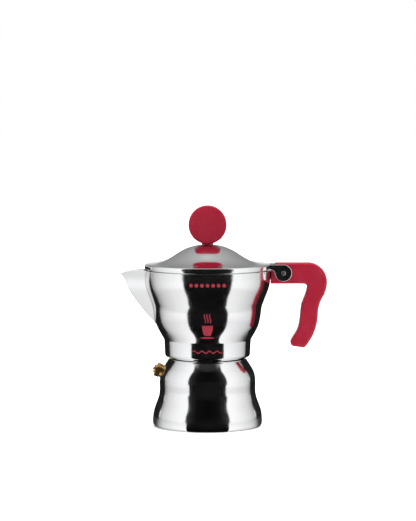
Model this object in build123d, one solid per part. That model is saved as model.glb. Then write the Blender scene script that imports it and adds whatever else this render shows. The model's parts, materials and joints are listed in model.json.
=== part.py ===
from build123d import *
import math
import os

# Moka pot for one cup, in millimetres. +Z is up, and the origin is the centre of the boiler's base,
# on the surface that the pot stands on. The handle is towards +X and the spout towards -X.

# Boiler
BOILER_WALL = 2.8
BOILER_FLOOR = 3.2
BELLY_R = 36.2
BASE_CORNER_R = 3.4
SHOULDER_R = 25.6
SHOULDER_Z = 44.9
NECK_R = 24.0
NECK_BORE_R = 20.8
NECK_TOP = 53.6
THREAD_PITCH = 3.0
THREAD_DEPTH = 0.9
THREAD_LENGTH = 5.4
THREAD_ROOT = 0.85
THREAD_CREST = 0.3

# Stack clamped between the boiler's neck and the collector
STACK_GAP = 0.05
FLANGE_THICK = 0.7
GASKET_THICK = 2.4
PLATE_THICK = 0.6
FLANGE_TOP = NECK_TOP + STACK_GAP + FLANGE_THICK
GASKET_TOP = FLANGE_TOP + STACK_GAP + GASKET_THICK
PLATE_TOP = GASKET_TOP + STACK_GAP + PLATE_THICK
SEAT_Z = PLATE_TOP + STACK_GAP
RECESS_TOP = SEAT_Z + 1.3

# Basket
CUP_R = 20.4
CUP_FLOOR = 37.6
SHEET = 0.8
CONE_LOW = 31.0
STEM_R = 4.0
STEM_BOTTOM = 6.5
COLLAR_LOW = 26.0

# Collector
SKIRT_BOTTOM = 46.2
SKIRT_R = 28.2
SKIRT_CORNER_R = 2.0
SKIRT_BORE_R = 25.3
LOWER_CREASE_R = 28.7
LOWER_CREASE_Z = 57.5
UPPER_CREASE_R = 35.8
UPPER_CREASE_Z = 79.6
CREASE_FILLET_R = 9.0
RIM_R = 41.5
RIM_Z = 103.6
COLLECTOR_WALL = 2.3
COLLECTOR_FLOOR = 61.4
COLUMN_TOP = 94.0
COLUMN_BORE_R = 2.4

# Spout
SPOUT_TIP_X = -58.1
SPOUT_TIP_Z = 101.1
SPOUT_HALF_ANGLE = 25.0
SPOUT_WALL = 1.9

# Lid and its hinge
PIVOT_X = 50.0
PIVOT_Z = 101.8
PIN_R = 1.5
LID_GAP = 0.15
LID_TOP = 107.4
DOME_FOOT_R = 36.5
DOME_FOOT_Z = 107.75
DOME_TOP = 120.3
LID_SHEET = 1.7
LID_LAND = DOME_TOP - LID_SHEET - 0.3
KNOB_HOLE_R = 2.15
EAR_R = 5.6
EAR_THICK = 2.0
EAR_GAP = 0.3
SWING_R = 8.4

# Handle and knob
HANDLE_THICK = 11.4
HANDLE_TOP = 108.3
HANDLE_ROOT_X = 41.7
ARM_LOW = 94.6
HANDLE_EDGE = 1.8
LUG_THICK = 4.8
LUG_REACH = 4.3
KNOB_R = 12.6
KNOB_Z = 133.4
KNOB_THICK = 11.0
KNOB_FOOT_R = 3.9
INSERT_R = 2.99
WASHER_THICK = 0.6
SCREW_R = 1.88
SCREW_HEAD_R = 3.6
SCREW_HEAD_THICK = 2.3

# Safety valve, on an axis that is square to the boiler's shoulder
VALVE_X = -29.75
VALVE_Z = 36.0
VALVE_TILT = 20.9
VALVE_HOLE_R = 3.0
SPOT_FACE_R = 4.3
VALVE_WASHER_THICK = 0.5
VALVE_FLANGE_TOP = 1.6
HEX_CORNERS = 9.3
HEX_TOP = 5.0
VALVE_NOSE_TOP = 6.1
VALVE_BORE_R = 1.9
VALVE_SEAT = -3.9
SEAL_TOP = VALVE_SEAT + 0.7
VALVE_HEAD_R = 1.6
VALVE_HEAD_TOP = SEAL_TOP + 0.8
STEM_PIN_R = 0.85
RETAINER_LOW = 4.6
RETAINER_TOP = 5.6
SPRING_WIRE_R = 0.22
SPRING_R = 1.3
SPRING_TURNS = 7

FIT = 0.05
VALVE_PLANE = Plane(
    origin=(VALVE_X, 0, VALVE_Z),
    x_dir=(math.sin(math.radians(VALVE_TILT)), 0, math.cos(math.radians(VALVE_TILT))),
    z_dir=(-math.cos(math.radians(VALVE_TILT)), 0, math.sin(math.radians(VALVE_TILT))),
)


def turned(outline):
    """A closed half outline in radius and height, revolved about Z."""
    return revolve(Plane.XZ * make_face(outline), Axis.Z)


def cone(low_r, high_r, low, high):
    """A cone along +Z."""
    return Pos(0, 0, low) * Cone(low_r, high_r, high - low, align=(Align.CENTER, Align.CENTER, Align.MIN))


def ring(inner, outer, low, high):
    """A plain ring about Z."""
    half = Pos((inner + outer) / 2, (low + high) / 2) * Rectangle(outer - inner, high - low)
    return revolve(Plane.XZ * half, Axis.Z)


def rod(radius, low, high):
    """A plain cylinder along +Z."""
    return Pos(0, 0, low) * Cylinder(radius, high - low, align=(Align.CENTER, Align.CENTER, Align.MIN))


def slab(face, thick):
    """A face drawn in the XZ plane, thickened equally to both sides of Y = 0."""
    return extrude(Plane.XZ * face, amount=thick / 2, both=True)


def cross_rod(radius, length):
    """A cylinder along Y through the hinge's pivot."""
    return Pos(PIVOT_X, 0, PIVOT_Z) * Rot(90, 0, 0) * Cylinder(radius, length)


def perforations(hole_r, reach, step, low, high):
    """Rings of small round holes, from a centre hole out to the given reach."""
    places = [(0.0, 0.0)]
    for ring_number in range(1, int(reach / step) + 1):
        count = 6 * ring_number
        for index in range(count):
            angle = 2 * math.pi * index / count
            places.append((ring_number * step * math.cos(angle), ring_number * step * math.sin(angle)))
    holes = Sketch() + [Pos(x, y) * Circle(hole_r) for x, y in places]
    return extrude(Pos(0, 0, low) * holes, amount=high - low)


def boiler_wave(inset, low):
    """The boiler's wavy side from just above its base corner up to its shoulder."""
    return Spline(
        (BELLY_R - inset, low),
        (35.3 - inset, 11.0),
        (33.4 - inset, 16.4),
        (31.85 - inset, 21.9),
        (31.75 - inset, 28.5),
        (31.2 - inset, 34.3),
        (29.3 - inset, 39.0),
        tangents=((0, 1), (-0.56, 1)),
    )


def thread_ridge():
    """The helical ridge of the neck's thread."""
    path = Helix(THREAD_PITCH, THREAD_LENGTH, NECK_R)
    section = Plane(origin=path @ 0, x_dir=(1, 0, 0), z_dir=path % 0)
    root = 0.2
    profile = section * Polygon(
        (-root, -THREAD_ROOT), (THREAD_DEPTH, -THREAD_CREST),
        (THREAD_DEPTH, THREAD_CREST), (-root, THREAD_ROOT), align=None
    )
    return Pos(0, 0, NECK_TOP - THREAD_LENGTH - 1.2) * sweep(profile, path=path, is_frenet=True)


def boiler():
    outside = boiler_wave(0, BASE_CORNER_R)
    shoulder = Line(outside @ 1, (SHOULDER_R, SHOULDER_Z))
    base = Line((0, 0), (BELLY_R - BASE_CORNER_R, 0))
    corner = RadiusArc(base @ 1, outside @ 0, -BASE_CORNER_R)
    neck_edge = 0.5
    neck = Polyline(
        shoulder @ 1,
        (NECK_R, SHOULDER_Z + 0.6),
        (NECK_R, NECK_TOP - neck_edge),
        (NECK_R - neck_edge, NECK_TOP),
        (0, NECK_TOP),
        (0, 0),
    )
    body = turned(base + corner + outside + shoulder + neck)

    inner_corner_r = 2.4
    inside = boiler_wave(BOILER_WALL, BOILER_FLOOR + inner_corner_r)
    floor_corner = RadiusArc(
        (BELLY_R - BOILER_WALL - inner_corner_r, BOILER_FLOOR), inside @ 0, -inner_corner_r
    )
    floor = Line((0, BOILER_FLOOR), floor_corner @ 0)
    throat = Polyline(
        inside @ 1, (NECK_BORE_R, SHOULDER_Z - 2.1), (NECK_BORE_R, NECK_TOP), (0, NECK_TOP), (0, BOILER_FLOOR)
    )
    cavity = turned(floor + floor_corner + inside + throat)

    boss = VALVE_PLANE * rod(VALVE_HOLE_R + 2, -4.4, -0.6)
    spot_face = VALVE_PLANE * rod(SPOT_FACE_R, 0, 4)
    hole = VALVE_PLANE * rod(VALVE_HOLE_R, -8, 2)
    return body - cavity + boss - spot_face - hole + thread_ridge()


def valve_body():
    shank_low = -5.2
    shank = rod(VALVE_HOLE_R - 0.03, shank_low, VALVE_WASHER_THICK)
    flange = rod(SPOT_FACE_R - 0.1, VALVE_WASHER_THICK, VALVE_FLANGE_TOP)
    hexagon = Pos(0, 0, VALVE_FLANGE_TOP) * extrude(
        RegularPolygon(HEX_CORNERS / 2, 6), amount=HEX_TOP - VALVE_FLANGE_TOP
    )
    rounding = cone(HEX_CORNERS / 2 + 2.0, HEX_CORNERS / 2 - 0.55, VALVE_FLANGE_TOP, HEX_TOP)
    nose = cone(2.75, 2.4, HEX_TOP, VALVE_NOSE_TOP)
    bore = rod(VALVE_BORE_R, VALVE_SEAT, VALVE_NOSE_TOP + 0.1)
    inlet = rod(1.1, shank_low - 0.1, VALVE_SEAT)
    return VALVE_PLANE * (shank + flange + (hexagon & rounding) + nose - bore - inlet)


def valve_washer():
    return VALVE_PLANE * ring(VALVE_HOLE_R + 0.02, SPOT_FACE_R - 0.4, 0, VALVE_WASHER_THICK)


def valve_seal():
    return VALVE_PLANE * rod(VALVE_HEAD_R, VALVE_SEAT + 0.02, SEAL_TOP)


def valve_piston():
    head = rod(VALVE_HEAD_R, SEAL_TOP, VALVE_HEAD_TOP)
    stem = rod(STEM_PIN_R, VALVE_HEAD_TOP, VALVE_NOSE_TOP + 0.6)
    tip = stem.edges().filter_by(GeomType.CIRCLE).sort_by(Axis.Z)[-1]
    return VALVE_PLANE * (head + fillet(tip, 0.4))


def valve_spring():
    low = VALVE_HEAD_TOP + SPRING_WIRE_R + 0.02
    high = RETAINER_LOW - SPRING_WIRE_R - 0.02
    path = Helix((high - low) / SPRING_TURNS, high - low, SPRING_R)
    section = Plane(origin=path @ 0, x_dir=(1, 0, 0), z_dir=path % 0)
    coil = sweep(section * Circle(SPRING_WIRE_R), path=path, is_frenet=True)
    return VALVE_PLANE * Pos(0, 0, low) * coil


def valve_retainer():
    return VALVE_PLANE * ring(STEM_PIN_R + 0.07, VALVE_BORE_R - 0.01, RETAINER_LOW, RETAINER_TOP)


def funnel():
    """The basket: flange, cup, conical floor, and the collar that holds the stem."""
    flange_low = NECK_TOP + STACK_GAP
    flange_r = NECK_R - 0.2
    ledge = 1.0
    outline = Polyline(
        (flange_r, flange_low),
        (flange_r, FLANGE_TOP),
        (CUP_R - SHEET, FLANGE_TOP),
        (CUP_R - SHEET, CUP_FLOOR),
        (CUP_R - SHEET - ledge, CUP_FLOOR - 0.4),
        (STEM_R, CONE_LOW + 0.3),
        (STEM_R, COLLAR_LOW),
        (STEM_R + SHEET, COLLAR_LOW),
        (STEM_R + SHEET, CONE_LOW),
        (CUP_R - ledge, CUP_FLOOR - 1.2),
        (CUP_R, CUP_FLOOR - 0.4),
        (CUP_R, flange_low),
        (flange_r, flange_low),
    )
    return turned(outline)


def funnel_stem():
    """The tube pressed into the basket's collar, with a notch that lets water in at its foot."""
    tube = ring(STEM_R - SHEET, STEM_R - 0.01, STEM_BOTTOM, CONE_LOW)
    notch = Pos(STEM_R, 0, STEM_BOTTOM) * Box(STEM_R * 2, 2.0, 3.0)
    return tube - notch


def funnel_filter():
    disc = rod(CUP_R - SHEET - 0.02, CUP_FLOOR, CUP_FLOOR + PLATE_THICK)
    return disc - perforations(0.6, 16.5, 3.3, CUP_FLOOR - 1, CUP_FLOOR + 2)


def gasket():
    low = FLANGE_TOP + STACK_GAP
    flat = ring(CUP_R + 0.2, SKIRT_BORE_R - 0.4, low, GASKET_TOP)
    return fillet(flat.edges().filter_by(GeomType.CIRCLE), 0.3)


def filter_plate():
    low = GASKET_TOP + STACK_GAP
    disc = rod(SKIRT_BORE_R - 0.6, low, PLATE_TOP)
    return disc - perforations(0.5, 18.0, 2.6, low - 1, PLATE_TOP + 1)


def lower_bulge(inset, start_r, start_z):
    """The collector's lower bulge, from the crease above the skirt up to the middle crease."""
    return Spline(
        (start_r, start_z),
        (33.1 - inset, 65.5),
        (35.0 - inset, 72.6),
        (UPPER_CREASE_R - inset, UPPER_CREASE_Z),
        tangents=((0.52, 1), (0.09, 1)),
    )


def upper_bulge(inset):
    """The collector's upper bulge, from the middle crease up to where the wall stands upright."""
    return Spline(
        (UPPER_CREASE_R - inset, UPPER_CREASE_Z),
        (38.1 - inset, 85.2),
        (40.5 - inset, 91.8),
        (RIM_R - inset, 98.6),
        tangents=((0.5, 1), (0, 1)),
    )


def collector_shell():
    """The collector's turned vessel, before the spout, lug and column are added."""
    skirt = Line((0, SKIRT_BOTTOM), (SKIRT_R - SKIRT_CORNER_R, SKIRT_BOTTOM))
    corner = RadiusArc(skirt @ 1, (SKIRT_R, SKIRT_BOTTOM + SKIRT_CORNER_R), -SKIRT_CORNER_R)
    lower = lower_bulge(0, LOWER_CREASE_R, LOWER_CREASE_Z)
    side = Line(corner @ 1, lower @ 0)
    upper = upper_bulge(0)
    top = Polyline(upper @ 1, (RIM_R, RIM_Z), (0, RIM_Z), (0, SKIRT_BOTTOM))
    body = turned(skirt + corner + side + lower + upper + top)
    middle_crease = [edge for edge in body.edges().filter_by(GeomType.CIRCLE)
                     if abs(edge.arc_center.Z - UPPER_CREASE_Z) < 0.1]
    return fillet(middle_crease, CREASE_FILLET_R)


def collector_cavity():
    """The space for coffee inside the collector's wall."""
    wall = COLLECTOR_WALL
    lower = lower_bulge(wall, 28.6, COLLECTOR_FLOOR + 1.6)
    upper = upper_bulge(wall)
    floor = Line((0, COLLECTOR_FLOOR), (26.4, COLLECTOR_FLOOR))
    corner = RadiusArc(floor @ 1, lower @ 0, -2.4)
    top = Polyline(upper @ 1, (RIM_R - wall, RIM_Z + 1), (0, RIM_Z + 1), (0, COLLECTOR_FLOOR))
    return turned(floor + corner + lower + upper + top)


def skirt_bore():
    """The bore that goes over the boiler's neck, the seat, and the recess above the plate."""
    recess_r = 20.0
    return rod(SKIRT_BORE_R, SKIRT_BOTTOM - 1, SEAT_Z) + cone(recess_r, recess_r - 1.5, SEAT_Z, RECESS_TOP)


def column():
    """The riser tube that brings the coffee up, with two side outlets under its closed top."""
    outline = Polyline(
        (0, RECESS_TOP), (7.5, RECESS_TOP), (7.5, COLLECTOR_FLOOR), (5.4, COLLECTOR_FLOOR + 3.0),
        (4.0, COLUMN_TOP - 2.0), (2.6, COLUMN_TOP), (0, COLUMN_TOP), (0, RECESS_TOP),
    )
    bore_top = COLUMN_TOP - 2.2
    outlet_width, outlet_height = 3.2, 4.4
    riser = turned(outline) - rod(COLUMN_BORE_R, SEAT_Z, bore_top)
    outlet = Pos(0, 0, bore_top - 1 - outlet_height / 2) * Box(outlet_width, 20, outlet_height)
    return riser - outlet


def spout_section(ridge_x, height, inset):
    """A level V section of the spout whose point is at the ridge."""
    half_angle = math.radians(SPOUT_HALF_ANGLE)
    point_x = ridge_x + inset / math.sin(half_angle)
    back_x = -24.0
    spread = (back_x - point_x) * math.tan(half_angle)
    return Pos(0, 0, height) * Polygon((point_x, 0), (back_x, -spread), (back_x, spread), align=None)


def spout_solid(inset):
    """The beak from below its lowest point up past its rim, ending in the out-turned lip."""
    beak = [
        spout_section(-30.2, 64.0, inset),
        spout_section(-39.6, 73.8, inset),
        spout_section(-47.1, 83.2, inset),
        spout_section(-52.4, 91.8, inset),
        spout_section(-55.4, 98.6, inset),
    ]
    lip = [spout_section(-55.4, 98.6, inset), spout_section(SPOUT_TIP_X - 2.6, SPOUT_TIP_Z + 2.6, inset)]
    return loft(beak) + loft(lip, ruled=True)


def above_spout():
    """Everything above the spout's sloping rim, used as a cutter."""
    wall_x = -RIM_R + 1.0
    rim = ThreePointArc((wall_x, RIM_Z), (-51.2, 102.9), (SPOUT_TIP_X, SPOUT_TIP_Z))
    past_tip = SPOUT_TIP_X - 6
    over = Polyline(rim @ 1, (past_tip, SPOUT_TIP_Z - 2.4), (past_tip, 112), (wall_x, 112), rim @ 0)
    return slab(make_face(rim + over), 60)


def handle_lug():
    """The tongue on the collector's wall that enters the handle and carries the pin."""
    foot_x = RIM_R - 1.6
    arm = Polygon(
        (foot_x, PIVOT_Z - LUG_REACH), (PIVOT_X, PIVOT_Z - LUG_REACH), (PIVOT_X, PIVOT_Z + LUG_REACH),
        (44.0, RIM_Z - 0.8), (foot_x, RIM_Z - 0.8), align=None
    )
    return slab(arm + Pos(PIVOT_X, PIVOT_Z) * Circle(LUG_REACH), LUG_THICK)


def collector():
    vessel = collector_shell() + (spout_solid(0) - above_spout())
    vessel = vessel - collector_cavity()
    channel = spout_solid(SPOUT_WALL) & (Pos(-40, 0, 92) * Box(60, 60, 50))
    vessel = vessel - (channel - rod(RIM_R - COLLECTOR_WALL - 6, 0, 70))
    lug = handle_lug() - rod(RIM_R - 1.0, 90, 110)
    vessel = vessel + lug - cross_rod(PIN_R + 0.02, 20)
    return vessel - skirt_bore() + column()


def lid_shell():
    """The turned lid: rim, flange, dome and the locating ring inside."""
    rim_low = RIM_Z + LID_GAP
    rim_inner = RIM_R - 1.9
    rim_edge = 0.4
    top = Polyline(
        (rim_inner, rim_low), (RIM_R, rim_low), (RIM_R, LID_TOP - rim_edge), (RIM_R - rim_edge, LID_TOP),
        (DOME_FOOT_R, DOME_FOOT_Z),
    )
    dome = Spline(
        top @ 1, (31.5, 108.6), (25.7, 111.0), (20.4, 114.3), (14.5, 117.55), (0, DOME_TOP),
        tangents=((-1, 0.07), (-1, 0)),
    )
    axis = Polyline(dome @ 1, (0, LID_LAND), (5.2, LID_LAND))
    under = Spline(
        axis @ 1, (14.2, 115.8), (20.0, 112.5), (25.0, 109.6), (30.5, 107.15), (DOME_FOOT_R, 106.0),
        tangents=((1, -0.1), (1, -0.1)),
    )
    ring_r = RIM_R - COLLECTOR_WALL - 0.5
    ring_inner = ring_r - 1.1
    ring_low = RIM_Z - 1.3
    under_flange = LID_TOP - 1.8
    back = Polyline(
        under @ 1, (ring_inner, under_flange + 0.2), (ring_inner, ring_low), (ring_r, ring_low),
        (ring_r, under_flange), (rim_inner, under_flange), top @ 0,
    )
    return turned(top + dome + axis + under + back)


def ear_outline():
    """One hinge ear seen from the side: an arm from the lid's rim and a round end about the pin."""
    under_rim = RIM_Z + LID_GAP
    start_x = RIM_R - 4.0
    arm = Polygon(
        (start_x, LID_TOP - 1.0), (RIM_R + 1.0, under_rim), (PIVOT_X, under_rim), (PIVOT_X, LID_TOP),
        (start_x, LID_TOP), align=None
    )
    eye = Pos(PIVOT_X, PIVOT_Z) * Circle(EAR_R)
    web = Polygon((42.0, under_rim), (44.6, 101.2), (PIVOT_X, PIVOT_Z), (PIVOT_X, under_rim), align=None)
    hollow = Pos(42.0, under_rim - 2.2) * Circle(2.2)
    return arm + eye + (web - hollow)


def lid():
    ear = Plane.XZ * ear_outline()
    inner_face = HANDLE_THICK / 2 + EAR_GAP
    near_ear = Pos(0, -inner_face, 0) * extrude(ear, amount=EAR_THICK)
    far_ear = mirror(near_ear, Plane.XZ)
    body = lid_shell() + near_ear + far_ear
    body = body - rod(KNOB_HOLE_R, RIM_Z, DOME_TOP + 1)
    return body - cross_rod(PIN_R + FIT, 20)


def hinge_pin():
    length = HANDLE_THICK + 2 * (EAR_GAP + EAR_THICK + 0.35)
    pin = cross_rod(PIN_R, length)
    return fillet(pin.edges().filter_by(GeomType.CIRCLE), 0.5)


def smooth_arcs(start, tangent, *ends):
    """Arcs that run on smoothly from a start point through each end in turn."""
    arcs = [TangentArc(start, ends[0], tangent=tangent)]
    for end in ends[1:]:
        arcs.append(TangentArc(arcs[-1] @ 1, end, tangent=arcs[-1] % 1))
    return arcs


def handle_outline():
    """Arm, rounded shoulder, wavy grip and blunt toe, with a hollow that clears the lid's swing."""
    swing_x = PIVOT_X - math.sqrt(SWING_R ** 2 - (HANDLE_TOP - PIVOT_Z) ** 2)
    swing_z = PIVOT_Z + math.sqrt(SWING_R ** 2 - (PIVOT_X - HANDLE_ROOT_X) ** 2)
    back = smooth_arcs((66.4, HANDLE_TOP), (1, 0), (78.8, 95.9), (76.0, 85.8), (72.9, 75.0), (64.9, 53.2))
    turn = TangentArc(back[-1] @ 1, (63.2, 52.3), tangent=back[-1] % 1)
    toe = Line(turn @ 1, (57.2, 53.1))
    heel = TangentArc(toe @ 1, (55.0, 57.0), tangent=toe % 1)
    front = Spline(
        heel @ 1, (58.6, 63.0), (60.9, 72.0), (62.0, 81.0), (65.6, ARM_LOW - 2.4),
        tangents=(heel % 1, (0.2, 1)),
    )
    corner = RadiusArc(front @ 1, (63.4, ARM_LOW), -2.3)
    root = Polyline(corner @ 1, (HANDLE_ROOT_X, ARM_LOW), (HANDLE_ROOT_X, swing_z))
    swing = RadiusArc(root @ 1, (swing_x, HANDLE_TOP), -SWING_R)
    top = Line(swing @ 1, back[0] @ 0)
    return make_face(Curve() + back + turn + toe + heel + front + corner + root + swing + top)


def handle():
    grip = slab(handle_outline(), HANDLE_THICK)
    sides = [edge for edge in grip.edges() if abs(abs(edge.center().Y) - HANDLE_THICK / 2) < 0.001]
    grip = fillet(sides, HANDLE_EDGE)
    pocket_r = LUG_REACH + 0.2
    slot = Pos(PIVOT_X - 10, PIVOT_Z) * Rectangle(20, 2 * pocket_r)
    pocket = slot + Pos(PIVOT_X, PIVOT_Z) * Circle(pocket_r)
    return grip - slab(pocket, LUG_THICK + 0.2) - cross_rod(PIN_R + 0.01, 20)


def knob():
    disc = Pos(0, 0, KNOB_Z) * Rot(90, 0, 0) * Cylinder(KNOB_R, KNOB_THICK)
    disc = fillet(disc.edges().filter_by(GeomType.CIRCLE), 1.2)
    foot = rod(KNOB_FOOT_R, DOME_TOP + FIT, KNOB_Z - KNOB_R + 2.5)
    return disc + foot - rod(INSERT_R + 0.01, DOME_TOP - 1, DOME_TOP + 7.5)


def knob_insert():
    return ring(SCREW_R + 0.02, INSERT_R, DOME_TOP + 0.3, DOME_TOP + 7.3)


def knob_washer():
    return ring(KNOB_HOLE_R - 0.05, 4.6, LID_LAND - WASHER_THICK, LID_LAND)


def knob_screw():
    under_washer = LID_LAND - WASHER_THICK
    head_low = under_washer - SCREW_HEAD_THICK
    head = rod(SCREW_HEAD_R, head_low, under_washer)
    head = fillet(head.edges().filter_by(GeomType.CIRCLE).sort_by(Axis.Z)[0], 1.2)
    slot = Pos(0, 0, head_low) * Box(1.0, 3 * SCREW_HEAD_R, 1.8)
    return head - slot + rod(SCREW_R, under_washer, DOME_TOP + 6.2)


PARTS = (
    boiler, valve_body, valve_washer, valve_seal, valve_piston, valve_spring, valve_retainer,
    funnel, funnel_stem, funnel_filter, gasket, filter_plate, collector, handle, hinge_pin,
    lid, knob, knob_insert, knob_washer, knob_screw,
)

os.makedirs("parts", exist_ok=True)
for make in PARTS:
    export_step(make(), "parts/" + make.__name__ + ".step")
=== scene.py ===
import json
import math

import bmesh
import bpy
import numpy as np
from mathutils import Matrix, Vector


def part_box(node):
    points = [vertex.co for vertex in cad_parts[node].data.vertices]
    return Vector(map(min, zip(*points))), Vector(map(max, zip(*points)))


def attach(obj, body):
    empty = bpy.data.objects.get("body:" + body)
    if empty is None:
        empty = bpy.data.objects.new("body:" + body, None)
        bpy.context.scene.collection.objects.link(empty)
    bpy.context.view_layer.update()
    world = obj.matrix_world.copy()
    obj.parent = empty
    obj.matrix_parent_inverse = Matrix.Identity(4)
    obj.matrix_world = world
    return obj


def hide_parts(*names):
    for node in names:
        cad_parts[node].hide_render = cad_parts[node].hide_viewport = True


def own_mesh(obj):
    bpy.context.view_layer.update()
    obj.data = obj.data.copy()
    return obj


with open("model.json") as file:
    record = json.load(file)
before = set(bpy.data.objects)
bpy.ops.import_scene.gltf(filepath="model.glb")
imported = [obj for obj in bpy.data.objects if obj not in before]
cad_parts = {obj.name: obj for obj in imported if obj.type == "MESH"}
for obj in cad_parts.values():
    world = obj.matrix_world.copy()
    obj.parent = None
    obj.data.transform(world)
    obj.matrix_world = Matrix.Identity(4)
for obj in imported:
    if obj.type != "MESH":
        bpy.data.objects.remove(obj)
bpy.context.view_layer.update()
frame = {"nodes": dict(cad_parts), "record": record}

# The pot's outlines are in millimetres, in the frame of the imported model, and MM turns them into metres.
# The pot stands on Z = 0 about the Z axis, with its handle towards +X and its spout towards -X. The studio's
# lengths are in metres.
MM = 0.001


def box_mm(node):
    """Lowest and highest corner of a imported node, in millimetres."""
    low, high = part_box(node)
    return low / MM, high / MM


BOILER_HIGH = box_mm("boiler")[1]
COLLECTOR_LOW, COLLECTOR_HIGH = box_mm("collector")
PIN_LOW, PIN_HIGH = box_mm("hinge_pin")

BELLY_R = BOILER_HIGH.y
NECK_TOP = BOILER_HIGH.z
SKIRT_LOW = COLLECTOR_LOW.z
RIM_R = COLLECTOR_HIGH.y
DOME_TOP = box_mm("lid")[1].z
PIVOT = (PIN_LOW + PIN_HIGH) / 2
PIN_R = (PIN_HIGH.z - PIN_LOW.z) / 2
HANDLE_HALF = box_mm("handle")[1].y
STACK_GAP = 0.05
SEAT_Z = box_mm("filter_plate")[1].z + STACK_GAP

COLUMNS = 288
SHARP_ANGLE = 35


# ---------------------------------------------------------------------------------------------------------
# Outlines: lists of (radius, height) or (x, height) points in millimetres
# ---------------------------------------------------------------------------------------------------------

def spline(points, start, end, spacing=0.9):
    """A smooth curve through the points, with the given directions at its two ends."""
    p = np.array(points, float)
    chord = np.linalg.norm(np.diff(p, axis=0), axis=1)
    last = len(p) - 1
    system = np.zeros((last + 1, last + 1))
    target = np.zeros((last + 1, 2))
    system[0, 0] = system[last, last] = 1
    target[0] = np.array(start) / np.linalg.norm(start)
    target[last] = np.array(end) / np.linalg.norm(end)
    for i in range(1, last):
        before, after = chord[i - 1], chord[i]
        system[i, i - 1:i + 2] = after, 2 * (before + after), before
        target[i] = 3 * (after * (p[i] - p[i - 1]) / before + before * (p[i + 1] - p[i]) / after)
    slope = np.linalg.solve(system, target)
    curve = []
    for i in range(last):
        steps = max(2, round(chord[i] / spacing))
        for t in np.arange(steps) / steps:
            curve.append(
                (2 * t ** 3 - 3 * t ** 2 + 1) * p[i] + (t ** 3 - 2 * t ** 2 + t) * chord[i] * slope[i]
                + (3 * t ** 2 - 2 * t ** 3) * p[i + 1] + (t ** 3 - t ** 2) * chord[i] * slope[i + 1]
            )
    curve.append(p[last])
    return [tuple(point) for point in curve]


ROUNDING_STEP = 9
LONGEST_REACH = 0.98


def rounded(points):
    """Rounds each corner that has a third value, its radius, in steps of some degrees.

    A rounding takes no more than LONGEST_REACH of either side of its corner.
    """
    flat = [np.array(point[:2], float) for point in points]
    result = []
    for i, point in enumerate(points):
        radius = point[2] if len(point) > 2 else 0
        if radius == 0 or i in (0, len(points) - 1):
            result.append(tuple(flat[i]))
            continue
        back, ahead = flat[i - 1] - flat[i], flat[i + 1] - flat[i]
        back_length, ahead_length = np.linalg.norm(back), np.linalg.norm(ahead)
        back, ahead = back / back_length, ahead / ahead_length
        turn = math.pi - math.acos(np.clip(back @ ahead, -1, 1))
        reach = min(radius * math.tan(turn / 2), LONGEST_REACH * back_length, LONGEST_REACH * ahead_length)
        steps = max(3, math.ceil(math.degrees(turn) / ROUNDING_STEP))
        for step in range(steps + 1):
            t = step / steps
            first, second = flat[i] + back * reach * (1 - t), flat[i] + ahead * reach * t
            result.append(tuple(first * (1 - t) + second * t))
    return result


def arc(centre, radius, start, end, steps=24):
    """Points along a circle from the start angle to the end angle, in degrees."""
    angles = np.radians(np.linspace(start, end, steps + 1))
    return [(centre[0] + radius * math.cos(a), centre[1] + radius * math.sin(a)) for a in angles]


def divided(start, end, spacing):
    """Evenly spaced points between two ends, without the ends."""
    count = round(math.dist(start, end) / spacing)
    return [tuple(np.array(start) + (np.array(end) - np.array(start)) * i / count) for i in range(1, count)]


# ---------------------------------------------------------------------------------------------------------
# Mesh building
# ---------------------------------------------------------------------------------------------------------

def add_object(name, data):
    """A new object in the scene."""
    made = bpy.data.objects.new(name, data)
    bpy.context.scene.collection.objects.link(made)
    return made


def finish_mesh(name, build, sharp=SHARP_ANGLE):
    """Turns a bmesh in millimetres into an object in metres, smooth but for its sharp edges."""
    bmesh.ops.recalc_face_normals(build, faces=build.faces[:])
    bmesh.ops.scale(build, vec=(MM, MM, MM), verts=build.verts[:])
    mesh = bpy.data.meshes.new(name)
    build.to_mesh(mesh)
    build.free()
    mesh.shade_smooth()
    mesh.set_sharp_from_angle(angle=math.radians(sharp))
    return add_object(name, mesh)


def skin(rings, closed=False):
    """A bmesh over rings of points. A ring with one point closes the skin there."""
    build = bmesh.new()
    levels = [[build.verts.new(point) for point in ring] for ring in rings]
    pairs = list(zip(levels, levels[1:]))
    if closed:
        pairs.append((levels[-1], levels[0]))
    for low, high in pairs:
        count = max(len(low), len(high))
        for i in range(count):
            j = (i + 1) % count
            corners = [low[i % len(low)], low[j % len(low)], high[j % len(high)], high[i % len(high)]]
            build.faces.new(dict.fromkeys(corners))
    return build


def capped_skin(rings):
    """A skin over rings of the same length, with a flat face on the first ring and on the last."""
    build = skin(rings)
    build.verts.ensure_lookup_table()
    count = len(rings[0])
    build.faces.new(build.verts[:count])
    build.faces.new(build.verts[-count:])
    return build


def turned_rings(outline, radius_at=None, angles=None):
    """Rings of points about Z for an outline. radius_at(angle, r, z) may give another radius and height."""
    if angles is None:
        angles = np.arange(COLUMNS) * 2 * math.pi / COLUMNS
    rings = []
    for r, z in outline:
        if r < 1e-6:
            rings.append([(0, 0, z)])
            continue
        places = [(r, z)] * len(angles) if radius_at is None else [radius_at(a, r, z) for a in angles]
        rings.append([(p * math.cos(a), p * math.sin(a), h) for a, (p, h) in zip(angles, places)])
    return rings


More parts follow.
